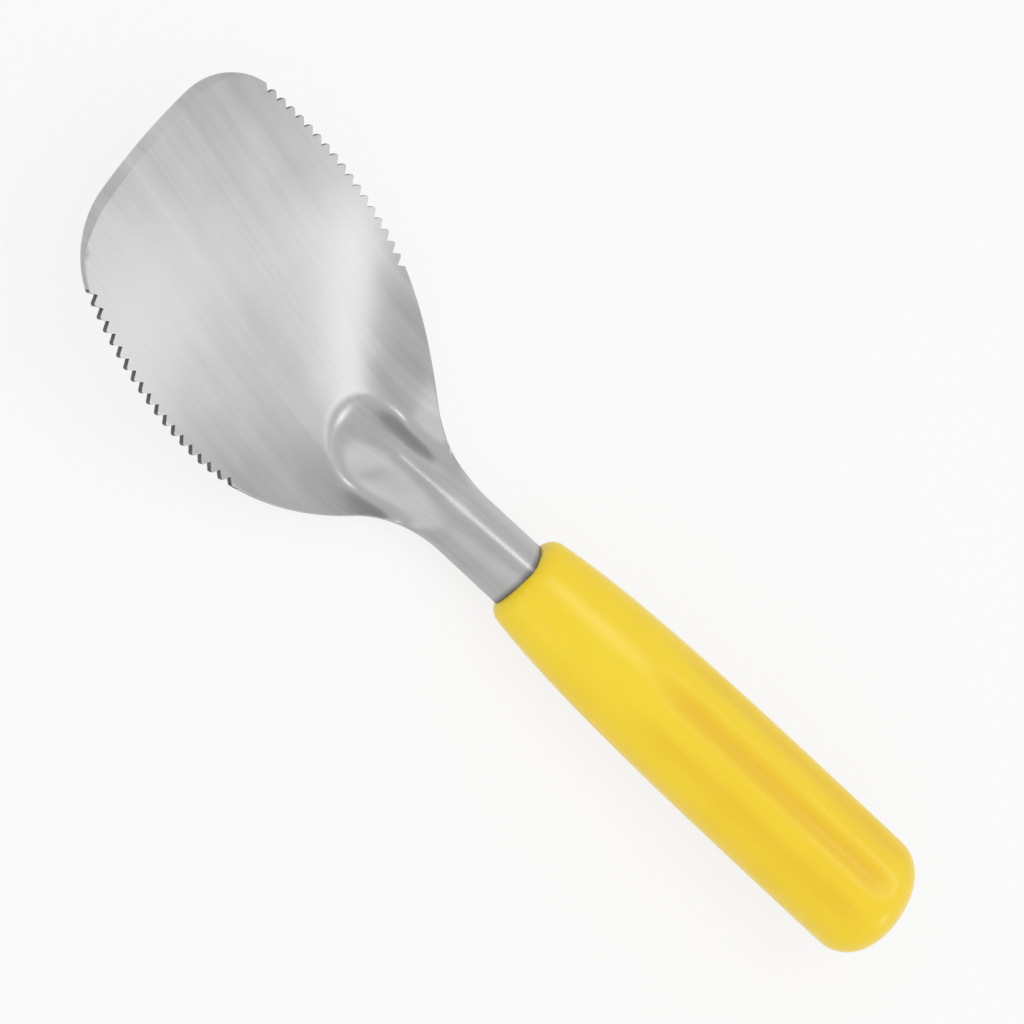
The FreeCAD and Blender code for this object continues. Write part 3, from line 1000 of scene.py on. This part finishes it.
blade = tooth_recipe().made_on(blank, "scoop_blade")
bpy.data.objects.remove(blank)
bpy.data.objects.remove(path)
print("blade: open edges and volume", face_outwards(blade.data), "faces", len(blade.data.polygons))

# %% [markdown]
# The skin should shade as one smooth surface and the stamped edges should stay crisp. Marking
# edges as sharp by the angle between their faces does both, because the grid is fine enough
# that no angle in the skin itself comes near the limit.

# %% Smooth skin, sharp edges
SHARP_ANGLE = math.radians(17.0)


def shade(thing):
    """Smooth shading with sharp edges where the faces turn by more than the limit."""
    thing.data.polygons.foreach_set("use_smooth", [True] * len(thing.data.polygons))
    thing.data.set_sharp_from_angle(angle=SHARP_ANGLE)


shade(blade)
print("sharp edges", sum(edge.use_edge_sharp for edge in blade.data.edges))

# %% [markdown]
# A punched edge isn't brushed: its wall is torn and dull, which is why real teeth are outlined
# in dark grey. The walls are easy to find, because they are the faces that stand square to the
# sheet, so they get a second material by that test alone.

# %% Dark walls of the teeth
WALL_LEAN = 0.5
TEETH_FROM = 12.5
TEETH_TO = 69.5

sheet_up = tipped((0.0, 0.0, 1.0)) / MM
sheet_back = tipped((-1.0, 0.0, 0.0)) / MM
blade.data.materials.clear()
blade.data.materials.append(steel)
blade.data.materials.append(sheared)
wall_count = 0
for face in blade.data.polygons:
    face.material_index = 0
    along_sheet = (face.center - shift).dot(sheet_back) / MM
    if abs(face.normal.dot(sheet_up)) < WALL_LEAN and TEETH_FROM < along_sheet < TEETH_TO:
        face.material_index = 1
        wall_count += 1
print("dark wall faces", wall_count)

# %% [markdown]
# ## Moulded plastic
# The handle is a warm yellow plastic with a soft gloss. Up close a moulded surface is never a
# mirror: it has a faint orange peel from the mould and a few duller patches from handling. The
# colour drifts a little too, which keeps a large plain surface from looking like paint. The
# flutes get a deeper orange: painted shade, standing in for the shadow in them. The handle's
# tree stores how deep each point lies in a flute, and an Attribute node reads it here.

# %% Plastic
PLASTIC = (0.94, 0.69, 0.020, 1.0)
PLASTIC_DEEP = (0.92, 0.64, 0.012, 1.0)
# Painted shade: the colour of the deepest part of a flute, darker as shadow there would be.
PAINTED_FLUTE_SHADE = (0.86, 0.54, 0.008, 1.0)
PEEL_SCALE = 1400.0
PATCH_SCALE = 26.0
RUB_ALONG = 30.0
RUB_ACROSS = 700.0
DRIFT_SPAN = (0.35, 0.7)
RUB_GLOSS_SHARE = 0.6
GLOSS_SPAN = (0.55, 1.05)
PLASTIC_ROUGHNESS = (0.22, 0.32)
GLOW_SHARE = 0.12
GLOW_DEPTHS = (0.004, 0.0025, 0.0006)
GLOW_SCALE = 0.6
RUB_RELIEF_SHARE = 0.25
PLASTIC_RELIEF = 0.035
PLASTIC_RELIEF_HEIGHT = 0.00004


def moulded_plastic():
    """Yellow with a fine skin, duller patches, and painted shade in the flutes."""
    material, w, shader = principled("moulded_plastic", PLASTIC, roughness=0.34)
    peel = noise(w, mapped(w), PEEL_SCALE, detail=2.0, roughness=0.5)
    patch = noise(w, mapped(w), PATCH_SCALE)
    rub = noise(w, mapped(w, (RUB_ALONG, RUB_ACROSS, RUB_ACROSS)), 1.0, detail=4.0)
    drifting = w.mix(PLASTIC, PLASTIC_DEEP, w.step(patch, *DRIFT_SPAN))
    flute = w.add("ShaderNodeAttribute", attribute_name="flute").outputs["Fac"]
    # The painted shade is mixed in by how deep the point lies in a flute.
    w.join(w.mix(drifting, PAINTED_FLUTE_SHADE, w.step(flute, 0.0, 1.0)), shader.inputs["Base Color"])
    gloss = w.plus(patch, rub, RUB_GLOSS_SHARE)
    w.join(w.ranged(gloss, *PLASTIC_ROUGHNESS, *GLOSS_SPAN), shader.inputs["Roughness"])
    shader.inputs["Subsurface Weight"].default_value = GLOW_SHARE
    shader.inputs["Subsurface Radius"].default_value = GLOW_DEPTHS
    shader.inputs["Subsurface Scale"].default_value = GLOW_SCALE
    relief = w.plus(peel, rub, RUB_RELIEF_SHARE)
    bumped(w, shader, relief, PLASTIC_RELIEF, PLASTIC_RELIEF_HEIGHT)
    return material


plastic = moulded_plastic()
print("plastic nodes", len(plastic.node_tree.nodes))

# %% [markdown]
# ## The handle
# The handle follows one rule from end to end: at each place along its axis the section is a
# slightly squared oval, wider than it is high, that swells towards the end. Two shallow kinds
# of flute are pressed into it, for the thumb and beside it. A grid is the natural start for
# such a piece, because its two directions become the way along and the way round. The tree
# moves each grid point to its place, and then welds the seam and the two ends.

# %% Handle sizes
HANDLE_LENGTH = 120.47
HANDLE_FRONT_HALF_WIDTH = 10.8
HANDLE_HALF_WIDTH = 15.2
HANDLE_SWELL = 25.0
HANDLE_FLATNESS = 0.72
HANDLE_SQUARENESS = 2.15
HANDLE_ABOVE_STEM_EDGE = 1.6
HANDLE_FRONT_ROUND = 2.8
HANDLE_END_DOME = 10.5
DOME_SQUARENESS = 2.2
FLUTE_START = 30.0
FLUTE_FULL = 50.0
FLUTE_FADE = 104.0
FLUTE_END = 114.0
THUMB_DEPTH = 0.75
THUMB_HALF_WIDTH = 4.8
SIDE_DIP_DEPTH = 0.4
SIDE_DIP_AT = 10.0
SIDE_DIP_HALF_WIDTH = 3.8
ALONG_COUNT = 221
AROUND_COUNT = 161
FACE_SHARE = 0.06
RIM_SHARE = 0.12
DOME_SHARE = 0.80
print("handle", HANDLE_LENGTH, "mm long and", 2.0 * HANDLE_HALF_WIDTH, "mm wide")

# %% [markdown]
# Along the grid come four spans: the flat front face, its rounded rim, the body and the domed
# end. Each span is a step from 0 to 1, so the way along is a sum of one term for each.

# %% The way along


def along_handle(r, t):
    """At the share t of the grid: the way along the axis, the rim's inset, and the closing."""
    length = r.size("Length", HANDLE_LENGTH * MM)
    rim_round = r.size("Front round", HANDLE_FRONT_ROUND * MM)
    dome = r.size("End dome", HANDLE_END_DOME * MM)
    dome_square = r.size("Dome squareness", DOME_SQUARENESS)
    quarter = math.pi / 2.0
    rim = r.math("MULTIPLY", r.step(t, FACE_SHARE, RIM_SHARE), quarter)
    body = r.step(t, RIM_SHARE, DOME_SHARE)
    end = r.math("MULTIPLY", r.step(t, DOME_SHARE, 1.0), quarter)

    u = r.math("MULTIPLY", rim_round, r.math("SUBTRACT", 1.0, r.math("COSINE", rim)))
    straight = r.math("SUBTRACT", r.math("SUBTRACT", length, dome), rim_round)
    u = r.math("ADD", u, r.math("MULTIPLY", straight, body))
    u = r.math("ADD", u, r.math("MULTIPLY", dome, r.math("SINE", end)))
    inset = r.math("MULTIPLY", rim_round, r.math("SUBTRACT", 1.0, r.math("SINE", rim)))
    closing = r.math("SUBTRACT", 1.0, r.math("POWER", r.math("SINE", end), dome_square))
    closing = r.math("POWER", r.math("MAXIMUM", closing, 0.0), r.math("DIVIDE", 1.0, dome_square))
    closing = r.math("MULTIPLY", r.step(t, 0.0, FACE_SHARE), closing)
    return u, inset, closing


# %% [markdown]
# Round the grid the section is a squared oval, whose power says how square it is: 2 is a plain
# oval. It narrows towards the front by an exponential, as a hand-drawn swell does.

# %% The way round


def round_handle(r, u, rise, side):
    """The oval's radius at u, in the direction given by its upward and its sideways part."""
    front_half = r.size("Front half width", HANDLE_FRONT_HALF_WIDTH * MM)
    full_half = r.size("Half width", HANDLE_HALF_WIDTH * MM)
    swell = r.size("Swell", HANDLE_SWELL * MM)
    flat = r.size("Flatness", HANDLE_FLATNESS)
    square = r.size("Squareness", HANDLE_SQUARENESS)
    fade = r.math("EXPONENT", r.math("DIVIDE", r.math("MULTIPLY", u, -1.0), swell))
    narrowing = r.math("MULTIPLY", r.math("SUBTRACT", full_half, front_half), fade)
    half_across = r.math("SUBTRACT", full_half, narrowing)
    half_up = r.math("MULTIPLY", half_across, flat)
    wide = r.math("POWER", r.math("DIVIDE", r.math("ABSOLUTE", side), half_across), square)
    tall = r.math("POWER", r.math("DIVIDE", r.math("ABSOLUTE", rise), half_up), square)
    return r.math("POWER", r.math("ADD", wide, tall), r.math("DIVIDE", -1.0, square))


# %% [markdown]
# A flute is a cosine across the handle, which gives it a round bottom and edges that run out
# without a crease. Along the handle all flutes share one slow start and one slow end.

# %% The flutes


def dip(r, distance, half, depth):
    """A round-bottomed flute: its depth at a distance from its middle."""
    turn = r.math("MULTIPLY", r.step(distance, 0.0, half), math.pi)
    return r.math("MULTIPLY", depth, r.math("MULTIPLY_ADD", r.math("COSINE", turn), 0.5, 0.5))


def flute_depth(r, u, across, thumb):
    """How deep the flutes are at u, at a distance across from the middle."""
    side_dip = r.size("Side dip depth", SIDE_DIP_DEPTH * MM)
    beside_thumb = r.math("ABSOLUTE", r.math("SUBTRACT", across, SIDE_DIP_AT * MM))
    flutes = r.math("ADD", dip(r, across, THUMB_HALF_WIDTH * MM, thumb),
                    dip(r, beside_thumb, SIDE_DIP_HALF_WIDTH * MM, side_dip))
    begun = r.step(u, FLUTE_START * MM, FLUTE_FULL * MM, "SMOOTHSTEP")
    ended = r.step(u, FLUTE_FADE * MM, FLUTE_END * MM, "SMOOTHSTEP")
    return r.math("MULTIPLY", flutes, r.math("MULTIPLY", begun, r.math("SUBTRACT", 1.0, ended)))


# %% [markdown]
# The tree now puts the rules together: every grid point gets its way along, its direction
# round and its reach, and goes there. The stem's edge is where the handle starts, and its axis
# follows the stem. The depth of the flutes is stored on the points for the plastic.

# %% The handle's tree
WELD = 1e-6


def handle_recipe():
    """A grid turned into the handle, by the rule of its sections."""
    r = Recipe("moulded_handle")
    thumb = r.size("Thumb depth", THUMB_DEPTH * MM)
    up_to_axis = r.size("Above the stem edge", HANDLE_ABOVE_STEM_EDGE * MM)
    joint = tipped((-STEM_START, 0.0, STEM_RISE)) + shift
    backward = tipped((-math.cos(BEND), 0.0, math.sin(BEND))) / MM
    upward = tipped((math.sin(BEND), 0.0, math.cos(BEND))) / MM
    start = r.size("Start", tuple(joint), "NodeSocketVector")
    back = r.size("Back", tuple(backward), "NodeSocketVector")
    up = r.size("Up", tuple(upward), "NodeSocketVector")

    grid = r.add("GeometryNodeMeshGrid", {
        "Size X": 1.0, "Size Y": 1.0, "Vertices X": ALONG_COUNT, "Vertices Y": AROUND_COUNT})
    position = r.add("GeometryNodeInputPosition").outputs[0]
    where = r.add("ShaderNodeSeparateXYZ", {"Vector": position})
    t = r.math("ADD", where.outputs["X"], 0.5)
    angle = r.math("MULTIPLY", r.math("ADD", where.outputs["Y"], 0.5), -2.0 * math.pi)
    rise = r.math("COSINE", angle)
    side = r.math("SINE", angle)
    u, inset, closing = along_handle(r, t)
    radius = round_handle(r, u, rise, side)
    across = r.math("ABSOLUTE", r.math("MULTIPLY", radius, side))
    flutes = flute_depth(r, u, across, thumb)
    depth = r.math("ADD", flutes, inset)
    reach = r.math("MULTIPLY", closing, r.math("SUBTRACT", radius, depth))

    place = r.vector("ADD", start, r.vector("SCALE", up, up_to_axis))
    place = r.vector("ADD", place, r.vector("SCALE", back, u))
    place = r.vector("ADD", place, r.vector("SCALE", up, r.math("MULTIPLY", rise, reach)))
    sideways = r.add("ShaderNodeCombineXYZ", {"Y": r.math("MULTIPLY", side, reach)})
    place = r.vector("ADD", place, sideways.outputs[0])
    # The flute depth is stored for the plastic's painted shade in the flutes.
    marked = r.add("GeometryNodeStoreNamedAttribute", {
        "Geometry": grid.outputs["Mesh"], "Name": "flute",
        "Value": r.math("DIVIDE", flutes, thumb)}, data_type="FLOAT", domain="POINT")
    moved = r.add("GeometryNodeSetPosition", {"Geometry": marked.outputs[0], "Position": place})
    welded = r.add("GeometryNodeMergeByDistance", {"Geometry": moved.outputs[0], "Distance": WELD})
    r.finish(welded.outputs[0], plastic)
    return r


seed = link_object("handle_seed", bpy.data.meshes.new("handle_seed"))
handle = handle_recipe().made_on(seed, "scoop_handle")
bpy.data.objects.remove(seed)
closed = face_outwards(handle.data)
shade(handle)
print("handle: open edges and volume", closed, "faces", len(handle.data.polygons))

# %% [markdown]
# ## Standing in for the solids
# Both pieces stand for their solids: they ride on the one body and hide the plain nodes. Last,
# the two boxes are written down, so that the size of what is seen can be compared with the size
# of what was built.

# %% Ride, replace, measure
for piece, node, slot in ((blade, "blade", "blade_steel"), (handle, "handle", "handle_plastic")):
    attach(piece, "root")
    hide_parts(node)
    ours = [piece.matrix_world @ v.co for v in piece.data.vertices]
    low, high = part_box(node)
    over = [round(1000.0 * (max(p[i] for p in ours) - high[i]), 3) for i in range(3)]
    less = [round(1000.0 * (low[i] - min(p[i] for p in ours)), 3) for i in range(3)]
    print(piece.name, "stands proud of its node by mm", over, less)
